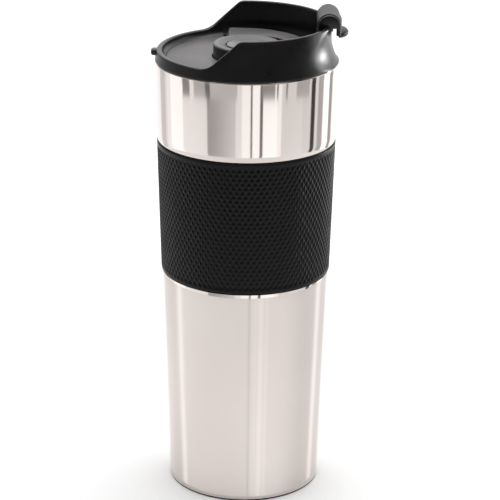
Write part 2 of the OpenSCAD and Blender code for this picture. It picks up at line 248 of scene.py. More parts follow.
class Finish:
    """A node material with a Principled shader and helpers for its textures."""

    def __init__(self, name, color, roughness, metallic=0.0):
        self.material = bpy.data.materials.new(name)
        self.material.use_nodes = True
        self.nodes = self.material.node_tree.nodes
        self.links = self.material.node_tree.links
        self.shader = self.nodes["Principled BSDF"]
        self.shader.inputs["Base Color"].default_value = (*color, 1)
        self.shader.inputs["Roughness"].default_value = roughness
        self.shader.inputs["Metallic"].default_value = metallic
        self.place = self.nodes.new("ShaderNodeTexCoord")

    def noise(self, scale, detail, stretch=(1, 1, 1)):
        """Noise in object space; scale is in features per metre."""
        mapping = self.nodes.new("ShaderNodeMapping")
        mapping.inputs["Scale"].default_value = stretch
        texture = self.nodes.new("ShaderNodeTexNoise")
        texture.inputs["Scale"].default_value = scale
        texture.inputs["Detail"].default_value = detail
        self.links.new(self.place.outputs["Object"], mapping.inputs["Vector"])
        self.links.new(mapping.outputs["Vector"], texture.inputs["Vector"])
        return texture.outputs["Fac"]

    def spread(self, value, low, high):
        """Maps a noise texture to low..high."""
        node = self.nodes.new("ShaderNodeMapRange")
        node.inputs["From Min"].default_value = NOISE_LOW
        node.inputs["From Max"].default_value = NOISE_HIGH
        node.inputs["To Min"].default_value = low
        node.inputs["To Max"].default_value = high
        self.links.new(value, node.inputs["Value"])
        return node.outputs["Result"]

    def blend(self, value, first, second):
        """Mixes two colours by a value from 0 to 1."""
        ramp = self.nodes.new("ShaderNodeValToRGB")
        ramp.color_ramp.elements[0].color = (*first, 1)
        ramp.color_ramp.elements[1].color = (*second, 1)
        self.links.new(value, ramp.inputs["Fac"])
        return ramp.outputs["Color"]

    def multiply(self, first, second):
        """The product of two textures."""
        node = self.nodes.new("ShaderNodeMath")
        node.operation = "MULTIPLY"
        self.links.new(first, node.inputs[0])
        self.links.new(second, node.inputs[1])
        return node.outputs["Value"]

    def color(self, value):
        """Drives the base colour with a texture."""
        self.links.new(value, self.shader.inputs["Base Color"])

    def rough(self, value):
        """Drives the roughness with a texture."""
        self.links.new(value, self.shader.inputs["Roughness"])

    def bump(self, height, depth_mm, strength):
        """Adds fine relief of a depth in millimetres to the relief that is already there."""
        node = self.nodes.new("ShaderNodeBump")
        node.inputs["Distance"].default_value = depth_mm * MM
        node.inputs["Strength"].default_value = strength
        self.links.new(height, node.inputs["Height"])
        previous = self.shader.inputs["Normal"].links
        if previous:
            self.links.new(previous[0].from_socket, node.inputs["Normal"])
        self.links.new(node.outputs["Normal"], self.shader.inputs["Normal"])


def polished_steel():
    """Buffed stainless steel: mirror-like, with faint haze and fine vertical buffing lines."""
    steel = Finish("polished_steel", (0.655, 0.60, 0.57), 0.07, metallic=1.0)
    haze = steel.noise(22, detail=4)
    lines = steel.noise(900, detail=2, stretch=(1, 1, 0.02))
    steel.rough(steel.spread(haze, 0.05, 0.10))
    steel.color(steel.blend(steel.spread(haze, 0, 1), (0.635, 0.575, 0.545), (0.67, 0.615, 0.585)))
    steel.bump(lines, 0.0006, 0.4)
    return steel.material


def satin_steel(name, color, roughness):
    """Brushed stainless steel, for the parts inside."""
    steel = Finish(name, color, roughness, metallic=1.0)
    grain = steel.noise(1500, detail=3, stretch=(1, 1, 0.06))
    steel.rough(steel.spread(grain, roughness * 0.8, roughness * 1.3))
    steel.bump(grain, 0.002, 0.5)
    return steel.material


def moulded_plastic(name, color, roughness, texture_mm=0.0025):
    """Black moulded plastic with a fine spark-eroded texture and faint handling marks."""
    plastic = Finish(name, color, roughness)
    plastic.shader.inputs["Specular IOR Level"].default_value = 0.42
    fine = plastic.noise(4500, detail=2)
    marks = plastic.noise(60, detail=5)
    plastic.rough(plastic.spread(marks, roughness - 0.05, roughness + 0.07))
    dark = tuple(c * 0.85 for c in color)
    light = tuple(c * 1.2 for c in color)
    plastic.color(plastic.blend(plastic.spread(marks, 0, 1), dark, light))
    plastic.bump(fine, texture_mm, 0.6)
    return plastic.material


def rubber(name, color, roughness):
    """Matte rubber with a dusty, slightly uneven surface."""
    soft = Finish(name, color, roughness)
    soft.shader.inputs["Specular IOR Level"].default_value = 0.14
    dust = soft.noise(120, detail=6)
    fine = soft.noise(6000, detail=2)
    soft.rough(soft.spread(dust, roughness - 0.06, roughness + 0.08))
    soft.color(soft.blend(soft.spread(dust, 0, 1), color, tuple(c * 1.35 for c in color)))
    soft.bump(fine, 0.01, 0.5)
    return soft.material


def silicone():
    """Milky, slightly see-through silicone."""
    soft = Finish("clear_silicone", (0.72, 0.71, 0.68), 0.4)
    soft.shader.inputs["Subsurface Weight"].default_value = 0.3
    soft.shader.inputs["Subsurface Radius"].default_value = (0.004, 0.004, 0.0035)
    fine = soft.noise(3000, detail=2)
    soft.rough(soft.spread(fine, 0.34, 0.46))
    soft.bump(fine, 0.004, 0.5)
    return soft.material


def woven_mesh():
    """Fine woven steel cloth: crossed wires, with painted shade in the gaps between them."""
    mesh = Finish("mesh_steel", (0.6, 0.6, 0.6), 0.35, metallic=1.0)
    wires_per_metre = 700
    waves = []
    for direction in ("X", "Y"):
        wave = mesh.nodes.new("ShaderNodeTexWave")
        wave.wave_type = "BANDS"
        wave.bands_direction = direction
        wave.inputs["Scale"].default_value = wires_per_metre
        mesh.links.new(mesh.place.outputs["Object"], wave.inputs["Vector"])
        waves.append(wave.outputs["Fac"])
    weave_and_gap_shade = mesh.multiply(waves[0], waves[1])
    # The wires take the light colour; the gaps get a near-black painted shade for the dark seen through them.
    mesh.color(mesh.blend(weave_and_gap_shade, (0.66, 0.66, 0.65), (0.06, 0.06, 0.06)))
    mesh.bump(weave_and_gap_shade, -0.05, 0.8)
    return mesh.material


MATERIALS = {
    "polished_steel": polished_steel(),
    "inner_steel": satin_steel("inner_steel", (0.68, 0.67, 0.66), 0.22),
    "small_steel": satin_steel("small_steel", (0.62, 0.62, 0.61), 0.2),
    "mesh_steel": woven_mesh(),
    "grip_rubber": rubber("grip_rubber", (0.0045, 0.0045, 0.0045), 0.34),
    "foot_rubber": rubber("foot_rubber", (0.012, 0.012, 0.012), 0.6),
    "clear_silicone": silicone(),
    "collar_plastic": moulded_plastic("collar_plastic", (0.011, 0.0105, 0.0105), 0.3),
    "lid_plastic": moulded_plastic("lid_plastic", (0.011, 0.011, 0.011), 0.5),
    "flap_plastic": moulded_plastic("flap_plastic", (0.016, 0.015, 0.0152), 0.46, 0.005),
    "knob_plastic": moulded_plastic("knob_plastic", (0.016, 0.0155, 0.0155), 0.38),
    "cap_plastic": moulded_plastic("cap_plastic", (0.02, 0.0195, 0.0195), 0.34),
}


def place(obj, body, slot_name, *nodes):
    """Gives a piece its material, its body and the CAD nodes that it stands for."""
    obj.data.materials.clear()
    obj.data.materials.append(MATERIALS[slot_name])
    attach(obj, body)
    if nodes:
        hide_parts(*nodes)


# ---------------------------------------------------------------------------
# Steel body
# ---------------------------------------------------------------------------


def wall_line(low, high, inset):
    """Points of the steel wall from one height to another, moved inward by inset."""
    step = 3.0
    count = max(2, round(abs(high - low) / step))
    points = []
    for k in range(count + 1):
        z = low + (high - low) * k / count
        points.append((body_r(z) - inset, z))
    return points


def build_shell():
    """Steel outer wall with the recess for the sleeve and a rounded rim."""
    recess_low = SLEEVE_LOW_Z - 0.1
    recess_high = SLEEVE_HIGH_Z + 0.5
    low_r = body_r(recess_low)
    high_r = body_r(recess_high)
    foot_r = body_r(SHELL_LOW_Z)
    rim_r = body_r(BODY_H)
    foot_round = 0.3
    wall_z = 4.0
    ease = 0.1
    fold = 0.4
    rim_round = 0.5
    outer = rounded([
        (foot_r - STEEL_T, SHELL_LOW_Z, 0), (foot_r, SHELL_LOW_Z, foot_round),
        (body_r(wall_z), wall_z, 0),
    ])
    outer += wall_line(wall_z + 0.5, recess_low - fold, 0)
    outer += [(low_r - ease, recess_low - ease), (low_r - fold, recess_low)]
    outer += wall_line(recess_low, recess_high, RECESS_DEPTH)
    outer += [(high_r - fold, recess_high), (high_r - ease, recess_high + ease)]
    outer += wall_line(recess_high + fold, BODY_H - rim_round, 0)
    outer += arc_points(rim_r - rim_round, BODY_H - rim_round, rim_round, 15, 90, 5)
    outer += [(RIM_INNER_R, BODY_H), (RIM_INNER_R, BODY_H - STEEL_T)]
    outer += wall_line(BODY_H - STEEL_T, recess_high + STEEL_T, STEEL_T)
    outer += wall_line(recess_high + STEEL_T, recess_low - STEEL_T, RECESS_DEPTH + STEEL_T)
    outer += wall_line(recess_low - STEEL_T, 1, STEEL_T)
    shell = lathe("steel_shell", outer, steps=288, crease_deg=50)
    place(shell, "vessel", "polished_steel", "outer_shell")


def knurl_height(u, v):
    """Height from 0 to 1 of one raised diamond; u and v count diamonds across and up."""
    groove = 0.12
    flank = 0.62
    a = (u + v) % 1.0
    b = (u - v) % 1.0
    edge = min(a, 1 - a, b, 1 - b) * 2
    return smooth((edge - groove) / flank)


def sleeve_levels(knurl_low, knurl_high, diamond_rows, relief):
    """The sleeve's closed section: height, distance out of the steel's line, and 1 where the
    diamonds are."""
    low = SLEEVE_LOW_Z
    high = SLEEVE_HIGH_Z
    tuck = 0.9
    low_round = 0.7
    high_round = 0.5
    round_steps = 4
    per_row = 10
    back_steps = 8
    levels = [(low + 0.05, -SLEEVE_INNER, 0), (low, -tuck, 0)]
    for k in range(round_steps + 1):
        a = radians(90 * k / round_steps)
        out = SLEEVE_PROUD - low_round * (1 - sin(a))
        levels.append((low + low_round * (1 - cos(a)), out, 0))
    levels += [(knurl_low - 0.35, SLEEVE_PROUD, 0), (knurl_low - 0.15, SLEEVE_PROUD - 0.1, 0)]
    row_count = diamond_rows * per_row
    for k in range(row_count + 1):
        z = knurl_low + (knurl_high - knurl_low) * k / row_count
        levels.append((z, SLEEVE_PROUD - relief, 1))
    levels += [(knurl_high + 0.15, SLEEVE_PROUD - 0.1, 0), (knurl_high + 0.35, SLEEVE_PROUD, 0)]
    for k in range(round_steps, -1, -1):
        a = radians(90 * k / round_steps)
        out = SLEEVE_PROUD - high_round * (1 - sin(a))
        levels.append((high - high_round * (1 - cos(a)), out, 0))
    levels += [(high, -tuck, 0), (high - 0.05, -SLEEVE_INNER, 0)]
    for k in range(1, back_steps):
        levels.append((high + (low - high) * k / back_steps, -SLEEVE_INNER, 0))
    return levels


def build_sleeve():
    """Rubber band with raised diamonds between two plain bands."""
    columns = 92
    per_column = 8
    diamond_rows = 14
    plain = 2.1
    relief = 0.42
    knurl_low = SLEEVE_LOW_Z + plain
    knurl_high = SLEEVE_HIGH_Z - plain
    pitch = (knurl_high - knurl_low) / diamond_rows
    steps = columns * per_column
    rows = []
    for z, proud, knurled in sleeve_levels(knurl_low, knurl_high, diamond_rows, relief):
        row = []
        for k in range(steps):
            angle = 2 * pi * k / steps
            r = body_r(z) + proud
            if knurled:
                r += relief * knurl_height(k / per_column, (z - knurl_low) / pitch)
            row.append((r * cos(angle), r * sin(angle), z))
        rows.append(row)
    bm = bmesh.new()
    add_grid(bm, rows)
    sleeve = finish_mesh("knurled_sleeve", bm, crease_deg=75)
    place(sleeve, "vessel", "grip_rubber", "grip_sleeve")


def build_foot():
    """Dark pad under the base, with a round groove in its underside."""
    pad_r = span("foot_pad", 0)[1]
    pad_top = span("foot_pad", 2)[1]
    seat_z = SHELL_LOW_Z - 0.02
    tuck_r = 32.2
    groove_r = 26.5
    groove_z = 0.8
    ease = 0.3
    foot = lathe("foot_disc", rounded([
        (0, 0, 0), (groove_r - 1.5, 0, ease), (groove_r - 0.9, groove_z, ease),
        (groove_r + 0.9, groove_z, ease), (groove_r + 1.5, 0, ease), (pad_r, 0, 0.25),
        (pad_r, seat_z, 0.1), (tuck_r, seat_z, 0), (tuck_r, pad_top, 0.2), (0, pad_top, 0),
    ]))
    place(foot, "vessel", "foot_rubber", "foot_pad")


def build_liner():
    """Drawn steel cup with a stepped mouth."""
    floor_z, _ = span("inner_liner", 2)
    cup_r = 30.5
    mouth_r = 36.6
    neck_z = 168
    mouth_z = 176
    neck_round = 6
    mouth_round = 3
    floor_round = 4
    seat_r = RIM_INNER_R - 0.03
    outer_r = cup_r + STEEL_T
    liner = lathe("inner_cup", rounded([
        (0, floor_z + STEEL_T, 0), (cup_r, floor_z + STEEL_T, floor_round),
        (cup_r, neck_z, neck_round), (mouth_r, mouth_z, mouth_round),
        (mouth_r, BODY_H, 0.3), (seat_r, BODY_H, 0), (seat_r, mouth_z, mouth_round),
        (outer_r, neck_z, neck_round), (outer_r, floor_z, floor_round + STEEL_T), (0, floor_z, 0),
    ], steps=8))
    place(liner, "vessel", "inner_steel", "inner_liner")


# ---------------------------------------------------------------------------
# Lid collar
# ---------------------------------------------------------------------------

# Pinched neck at the rear: a ring with a round section of radius NECK_R, whose upright axis is
# at NECK_AXIS_X, cuts into the collar. At the rear it reaches in to NECK_X, at height NECK_Z.
NECK_R = 24.0
NECK_X = 36.6
NECK_Z = 207.6
NECK_AXIS_X = -6.0
NECK_BLEND = 0.22

# Swell of the collar toward the hinge
SWELL = 0.8
SWELL_DEG = 40
SWELL_FADE_DEG = 26
SWELL_LOW_Z = 202
SWELL_RISE = 11

# Inside of the collar
CREASE_Z = 202.0
FUNNEL_FLARE = 1.7
WALL_FOOT = 1.75
WALL_LEAN = 2.0
WALL_MIN = 1.2

TOP_ROUND = 0.9  # radius of the edge's rounding


def soft_min(a, b, k):
    """The lesser of two lengths, with the corner between them rounded over k."""
    h = min(max(0.5 + 0.5 * (b - a) / k, 0.0), 1.0)
    return b + (a - b) * h - k * h * (1 - h)


def collar_cone(angle, z):
    """Radius of the collar's cone, with cheeks that swell toward the hinge."""
    t = (z - COLLAR_LOW_Z) / (COLLAR_TOP_Z - COLLAR_LOW_Z)
    from_rear = degrees(acos(cos(angle)))
    toward_hinge = smooth((SWELL_DEG - from_rear) / SWELL_FADE_DEG)
    swell = SWELL * toward_hinge * smooth((z - SWELL_LOW_Z) / SWELL_RISE)
    return COLLAR_BASE_R + (COLLAR_TOP_R - COLLAR_BASE_R) * t + swell


def collar_outer(angle, z):
    """Outer radius of the collar at an angle from +X, with the pinched neck at the rear."""
    side = sqrt(max(NECK_R ** 2 - (z - NECK_Z) ** 2, 0))
    reach = NECK_X - NECK_AXIS_X + NECK_R - side
    r = NECK_AXIS_X * cos(angle)
    r += sqrt(max(reach ** 2 - (NECK_AXIS_X * sin(angle)) ** 2, 0))
    return soft_min(collar_cone(angle, z), r, NECK_BLEND)


def collar_inner(angle, z):
    """Inner radius of the collar: a funnel above the floor, then a wall that leans inward."""
    at_front = cos(angle) < -0.3
    crease_z = LIP_Z - 0.4 if at_front else CREASE_Z
    if z < crease_z:
        t = (z - FLOOR_Z) / (crease_z - FLOOR_Z)
        return FUNNEL_R + FUNNEL_FLARE * sin(t * pi / 2) ** 0.8 if t > 0 else FUNNEL_R
    lean = WALL_LEAN * (z - crease_z) / (COLLAR_TOP_Z - crease_z)
    return min(FUNNEL_R + WALL_FOOT - lean, collar_outer(angle, z) - WALL_MIN)


def edge_height(x):
    """Height of the lid's S-shaped edge at x."""
    start_x = -20.2
    ramp = radians(42.5)
    low_r = 9.0
    high_r = 4.0
    low_end_x = start_x + low_r * sin(ramp)
    low_end_z = LIP_Z + low_r * (1 - cos(ramp))
    high_start_z = COLLAR_TOP_Z - high_r * (1 - cos(ramp))
    high_start_x = low_end_x + (high_start_z - low_end_z) / tan(ramp)
    high_end_x = high_start_x + high_r * sin(ramp)
    if x <= start_x:
        return LIP_Z
    if x <= low_end_x:
        return LIP_Z + low_r - sqrt(low_r ** 2 - (x - start_x) ** 2)
    if x <= high_start_x:
        return low_end_z + (x - low_end_x) * tan(ramp)
    if x <= high_end_x:
        return COLLAR_TOP_Z - high_r + sqrt(high_r ** 2 - (high_end_x - x) ** 2)
    return COLLAR_TOP_Z


def collar_top(angle):
    """Height of the collar's edge at an angle from +X, with the notch for the hinge."""
    z = COLLAR_TOP_Z
    settle_rounds = 12
    corner = 0.5
    for _ in range(settle_rounds):
        middle = (collar_outer(angle, z - 1) + collar_inner(angle, z - 1)) / 2
        z = 0.5 * z + 0.5 * edge_height(middle * cos(angle))
    if cos(angle) > 0:
        past = abs(middle * sin(angle)) - NOTCH_HALF
        if past < 0:
            foot = max(0, corner + past)
            return NOTCH_Z + corner - sqrt(corner ** 2 - foot ** 2)
        if past < corner:
            return z - corner + sqrt(corner ** 2 - (corner - past) ** 2)
    return z


def collar_angles():
    """Angles round the collar, closer together at the notch's edges and on the ramps."""
    angles = [radians(2 * k) for k in range(180)]
    notch_steps = 12
    notch_reach = 1.6
    notch_r = 35.6
    ramp_start_deg = 88
    ramp_steps = 80
    closest = 1e-4
    for side in (-1, 1):
        for k in range(-notch_steps, notch_steps + 1):
            offset = 0.02 + notch_reach * (abs(k) / notch_steps) ** 2
            y = NOTCH_HALF + offset * (1 if k > 0 else -1)
            angles.append(side * asin(y / notch_r))
        for k in range(ramp_steps):
            angles.append(side * radians(ramp_start_deg + 0.5 * k))
    angles = sorted(a % (2 * pi) for a in angles)
    kept = [angles[0]]
    for a in angles[1:]:
        if a - kept[-1] > closest:
            kept.append(a)
    return kept


def collar_section(angle):
    """Closed outline of the collar at one angle."""
    outer_steps = 26
    arc_steps = 12
    inner_steps = 16
    fullness = 0.8
    bevel = 0.35
    top = collar_top(angle)
    shoulder = top - TOP_ROUND
    outline = [(FLANGE_R, COLLAR_LOW_Z), (COLLAR_BASE_R - bevel, COLLAR_LOW_Z)]
    outline += [(COLLAR_BASE_R - 0.1, COLLAR_LOW_Z + 0.08)]
    low = COLLAR_LOW_Z + 0.3
    for k in range(outer_steps + 1):
        z = low + (shoulder - low) * k / outer_steps
        outline.append((collar_outer(angle, z), z))
    r_out = collar_outer(angle, shoulder)
    r_in = collar_inner(angle, shoulder)
    middle = (r_out + r_in) / 2
    half = (r_out - r_in) / 2
    for k in range(1, arc_steps):
        a = pi * k / arc_steps
        across = abs(cos(a)) ** fullness * (1 if cos(a) > 0 else -1)
        outline.append((middle + half * across, shoulder + TOP_ROUND * sin(a) ** fullness))
    for k in range(inner_steps + 1):
        z = shoulder + (FLOOR_Z - shoulder) * k / inner_steps
        outline.append((collar_inner(angle, z), z))
    outline += [(FUNNEL_R, FLOOR_Z - 0.3), (FUNNEL_R, FLANGE_TOP_Z), (FLANGE_R, FLANGE_TOP_Z)]
    return outline


def add_ears(bm):
    """The two round ears that hold the hinge pin, one on each side of the notch."""
    ear_out = 10.9
    ear_r = 4.7
    rear_z = 211.2
    front_z = 212.4
    front_x = 36.8
    low = rear_z - HINGE_Z
    over = front_z - HINGE_Z
    over_x = front_x - HINGE_X
    start_deg = degrees(asin(over / ear_r))
    end_deg = 180 - degrees(asin(low / ear_r))
    ear = arc_points(0, 0, ear_r, start_deg, end_deg, 40) + [(over_x, low), (over_x, over)]
    for side in (-1, 1):
        turned = Matrix((
            (1, 0, 0, HINGE_X), (0, 0, -side, side * ear_out), (0, 1, 0, HINGE_Z), (0, 0, 0, 1),
        ))
        add_slab(bm, ear, 0, ear_out - NOTCH_HALF, 0.35, turned)


def add_nub(bm):
    """The small nub under the drinking lip."""
    nub_x = -39.7
    nub_out = 2.0
    nub_half = 2.4
    nub_low_z = 197.7
    nub_high_z = 200.4
    nub = rounded([
        (-nub_out, -nub_half, 1.2), (nub_half, -nub_half, 0),
        (nub_half, nub_half, 0), (-nub_out, nub_half, 1.2),
    ], steps=6)
    add_slab(bm, [(nub_x + x, y) for x, y in nub], nub_low_z, nub_high_z, 0.9, segments=4)


def build_collar():
    """Plastic ring with the S-shaped edge, the pinched neck, the ears and the nub."""
    bm = bmesh.new()
    rows = []
    for angle in collar_angles():
        rows.append([(r * cos(angle), r * sin(angle), z) for r, z in collar_section(angle)])
    add_grid(bm, rows)
    add_ears(bm)
    add_nub(bm)
    collar = finish_mesh("lid_collar_shell", bm, crease_deg=50)
    place(collar, "lid", "collar_plastic", "lid_collar")


# ---------------------------------------------------------------------------
# Flap
# ---------------------------------------------------------------------------

TRAY_R = 35.05
TRAY_LOW_Z = 195.6
TRAY_HOLE_R = 15.2
LEDGE_R = 34.3
LEDGE_AXIS_X = -5.8
LEDGE_TOP_Z = 201.4
WELL_R = 21.2
STEP_X = -10.0
BARREL_R = 5.1
BARREL_HALF = 9.0
ARCH_OPEN_X = -1.5  # where the barrel's open side starts, from the pin
HOOK_EDGE = 0.4
# Stands an (x, y) outline up in the XZ plane; its thickness then runs across the hinge
ACROSS = Matrix((
    (1, 0, 0, 0), (0, 0, -1, BARREL_HALF), (0, 1, 0, 0), (0, 0, 0, 1),
))


def build_tray():
    """Front floor of the flap, cut out round the knob."""
    outer = degrees(acos(STEP_X / TRAY_R))
    inner = degrees(acos(STEP_X / TRAY_HOLE_R))
    outline = arc_points(0, 0, TRAY_R, outer, 360 - outer, 72)
    outline += arc_points(0, 0, TRAY_HOLE_R, 360 - inner, inner, 36)
    bm = bmesh.new()
    add_slab(bm, outline, TRAY_LOW_Z, FLOOR_Z, 0.25)
    tray = finish_mesh("flap_tray", bm, crease_deg=45)
    place(tray, "flap", "flap_plastic")


def ledge_outline():
    """Outline of the C-shaped ledge: its rim and the well round the knob."""
    limit = TRAY_R - 0.4
    rim_end = acos(STEP_X / limit)
    rim_steps = 48
    blend = 0.6
    outline = []
    for k in range(2 * rim_steps + 1):
        angle = rim_end * (k / rim_steps - 1)
        shifted = LEDGE_AXIS_X * cos(angle)
        shifted += sqrt(LEDGE_R ** 2 - (LEDGE_AXIS_X * sin(angle)) ** 2)
        r = soft_min(limit, shifted, blend)
        outline.append((r * cos(angle), r * sin(angle)))
    well_end = degrees(acos(STEP_X / WELL_R))
    bay_deg = 28
    bay_depth = 1.5
    outline += arc_points(0, 0, WELL_R, well_end, bay_deg + 2, 16)
    outline += arc_points(bay_depth, 0, WELL_R, bay_deg, -bay_deg, 16)
    outline += arc_points(0, 0, WELL_R, -bay_deg - 2, -well_end, 16)
    return outline


def lean_step(x, y):
    """Leans the ledge's front faces back; points further from the step move less."""
    lean = 2.0
    fade = 6
    return x + lean * max(0, 1 - (x - STEP_X) / fade), y


def build_ledge():
    """The C-shaped ledge round the knob."""
    bm = bmesh.new()
    add_slab(
        bm, ledge_outline(), TRAY_LOW_Z, LEDGE_TOP_Z, 0.55, segments=4, slope=lean_step,
    )
    ledge = finish_mesh("flap_ledge", bm, crease_deg=45)
    place(ledge, "flap", "flap_plastic")
    return ledge


def add_bead(bm, centre, reach, half_y, half_z):
    """Adds a rounded thumb bead that stands out from centre along +X, with a flat back."""
    rings = 16
    sides = 64
    trim = 0.02
    fullness = 0.75
    back = 0.5
    rows = []
    for i in range(rings + 1):
        lift = -pi / 2 + pi * (i + trim) / (rings + 2 * trim)
        spread = cos(lift) ** fullness
        row = []
        for k in range(sides):
            a = 2 * pi * k / sides
            out = reach if cos(a) > 0 else back
            offset = (out * spread * cos(a), half_y * spread * sin(a), half_z * sin(lift))
            row.append(centre + Vector(offset))
        rows.append(row)
    grid = [[bm.verts.new(p) for p in row] for row in rows]
    for below, row in zip(grid, grid[1:]):
        for k in range(sides):
            bm.faces.new((below[k - 1], below[k], row[k], row[k - 1]))
    bm.faces.new(grid[0])
    bm.faces.new(grid[-1])


def add_barrel(bm):
    """The arch over the hinge pin and the knuckle round it."""
    gap = -1.1
    knuckle_r = 2.4
    start = degrees(asin(gap / BARREL_R))
    end = 270 - degrees(asin(-ARCH_OPEN_X / BARREL_R))
    arch = arc_points(0, 0, BARREL_R, start, end, 72) + [(ARCH_OPEN_X, gap)]
    arch = [(HINGE_X + x, HINGE_Z + z) for x, z in arch]
    add_slab(bm, arch, 0, 2 * BARREL_HALF, HOOK_EDGE, ACROSS)
    knuckle = arc_points(HINGE_X, HINGE_Z, knuckle_r, 0, 355, 36)
    add_slab(bm, knuckle, 0, 2 * BARREL_HALF, 0, ACROSS)


def add_arm(bm):
    """The arm that joins the barrel to the ledge, with a hollow in its front."""
    foot_x = 25.5
    foot_z = 199.6
    neck_x = HINGE_X + ARCH_OPEN_X - 0.1
    hollow_x = 25
    hollow_r = 5.2
    arm = [(foot_x, foot_z), (neck_x, foot_z), (neck_x, HINGE_Z - 3.5), (HINGE_X, HINGE_Z)]
    arm += [(HINGE_X - BARREL_R + 0.4, HINGE_Z - 1)]
    arm += arc_points(hollow_x, HINGE_Z - 6.5, hollow_r, 0, -75, 8)
    add_slab(bm, arm, 0, 2 * BARREL_HALF, HOOK_EDGE, ACROSS)


def add_strap(bm):
    """The strap that hangs down behind the barrel, and its thumb bead."""
    strap_out = 40.9
    strap_t = 1.8
    strap_low_z = 208.6
    bead_x = 39.7
    bead_z = 208.5
    bead_reach = 4.2
    bead_half_y = 6.3
    bead_half_z = 2.15
    reach = degrees(asin(BARREL_HALF / strap_out))
    outline = arc_points(0, 0, strap_out, -reach, reach, 24)
    outline += arc_points(0, 0, strap_out - strap_t, reach, -reach, 24)
    add_slab(bm, outline, strap_low_z, HINGE_Z + 1.2, HOOK_EDGE)
    add_bead(bm, Vector((bead_x, 0, bead_z)), bead_reach, bead_half_y, bead_half_z)


def build_hook():
    """Hinge barrel, the arm in front of it and the strap and thumb tab behind it."""
    bm = bmesh.new()
    add_barrel(bm)
    add_arm(bm)
    add_strap(bm)
    hook = finish_mesh("flap_hook", bm)
    fuse(hook, voxel=0.2, rounds=8)
    place(hook, "flap", "flap_plastic")


# ---------------------------------------------------------------------------
# Plunger
# ---------------------------------------------------------------------------


DISH_Z = KNOB_TOP_Z - 1.8


def build_knob():
    """Round finger knob: a skirt and a hub under a dished top."""
    bore_r = 2.55
    hub_r = 5
    skirt_r = 13.6
    web_z = DISH_Z - 2
    ridge_r = 9.4
    dish_r = 9.2
    ease = 0.3
    knob = lathe("finger_knob", rounded([
        (bore_r, KNOB_LOW_Z, 0), (hub_r, KNOB_LOW_Z, ease), (hub_r, web_z, 0.5),
        (skirt_r, web_z, 0.5), (skirt_r, KNOB_LOW_Z, ease), (KNOB_R, KNOB_LOW_Z, ease),
        (KNOB_R, KNOB_TOP_Z, 1.1), (KNOB_R - 2.0, KNOB_TOP_Z, 0.8),
        (ridge_r, KNOB_TOP_Z - 0.9, ease), (dish_r, DISH_Z, 0.1), (bore_r, DISH_Z, 0),
    ], steps=8))
    place(knob, "plunger", "knob_plastic", "plunger_knob")


def build_cap():
    """Small round cap in the knob's dish, with a slightly domed top."""
    cap_r = 8.8
    dome_r = 5
    cap = lathe("knob_cap_disc", rounded([
        (0, DISH_Z, 0), (cap_r, DISH_Z, 0), (cap_r, KNOB_TOP_Z - 0.6, 0.5),
        (dome_r, KNOB_TOP_Z - 0.35, 6), (0, KNOB_TOP_Z - 0.45, 0),
    ], steps=6))
    place(cap, "plunger", "cap_plastic", "knob_cap")


def build_spring():
    """Wire wound into a ring that holds the mesh against the cup's wall."""
    low, high = span("filter_spring", 2)
    ring_z = (low + high) / 2
    ring_r = 29.0
    coil_r = 0.72
    wire_r = 0.17
    widen = 1.3  # the wire runs at an angle, so its section is wider along the ring
    turns = 96
    per_turn = 12
    sides = 6
    rows = []
    total = turns * per_turn
    for k in range(total):
        around = 2 * pi * k / total
        wind = around * turns
        centre_r = ring_r + coil_r * cos(wind)
        out = Vector((cos(around), sin(around), 0))
        middle = out * centre_r + Vector((0, 0, ring_z + coil_r * sin(wind)))
        normal = out * cos(wind) + Vector((0, 0, sin(wind)))
        along = Vector((-sin(around), cos(around), 0))
        row = []
        for i in range(sides):
            a = 2 * pi * i / sides
            row.append(middle + normal * wire_r * cos(a) + along * wire_r * widen * sin(a))
        rows.append(row)
    bm = bmesh.new()
    add_grid(bm, rows)
    spring = finish_mesh("edge_spring", bm, crease_deg=80)
    place(spring, "plunger", "small_steel", "filter_spring")


# ---------------------------------------------------------------------------
# CAD nodes that stay, with better materials
# ---------------------------------------------------------------------------


def dress_cad():
    """Gives each CAD node that stays visible the material of its slot."""
    slots = {s["node"]: s["material_slot"] for s in frame["record"]["subparts"]}
    for name, obj in frame["nodes"].items():
        if obj.hide_render:
            continue
        obj.data.materials.clear()
        obj.data.materials.append(MATERIALS[slots[name]])


# ---------------------------------------------------------------------------
# Studio
# ---------------------------------------------------------------------------


def aim(obj, target):
    """Turns a lamp so that it shines toward a point."""
    direction = Vector(target) - obj.location
    obj.rotation_euler = direction.to_track_quat("-Z", "Y").to_euler()


def soft_box(name, location, target, size, power):
    """A rectangular lamp that the camera does not see; size is its width and height."""
    light = bpy.data.lights.new(name, "AREA")
    light.shape = "RECTANGLE"
    light.size, light.size_y = size
    light.energy = power
    obj = bpy.data.objects.new(name, light)
    obj.location = location
    obj.visible_camera = False
    bpy.context.scene.collection.objects.link(obj)
    aim(obj, target)
    return obj


def light_only(light, pieces):
    """Lets a light reach only the named pieces."""
    lit = bpy.data.collections.new(light.name + "_lit")
    for piece in pieces:
        lit.objects.link(bpy.data.objects[piece])
    light.light_linking.receiver_collection = lit


def lid_spot(location, target, cone_deg, size, power):
    """A narrow lamp that lights only the flap's and the knob's faces, without highlights."""
    light = bpy.data.lights.new("lid_spot", "SPOT")
    light.spot_size = radians(cone_deg)
    light.spot_blend = 0.3
    light.shadow_soft_size = size
    light.energy = power
    obj = bpy.data.objects.new("lid_spot", light)
    obj.location = location
    obj.visible_glossy = False
    light_only(obj, ("flap_tray", "flap_ledge", "finger_knob", "knob_cap_disc"))
    bpy.context.scene.collection.objects.link(obj)
    aim(obj, target)


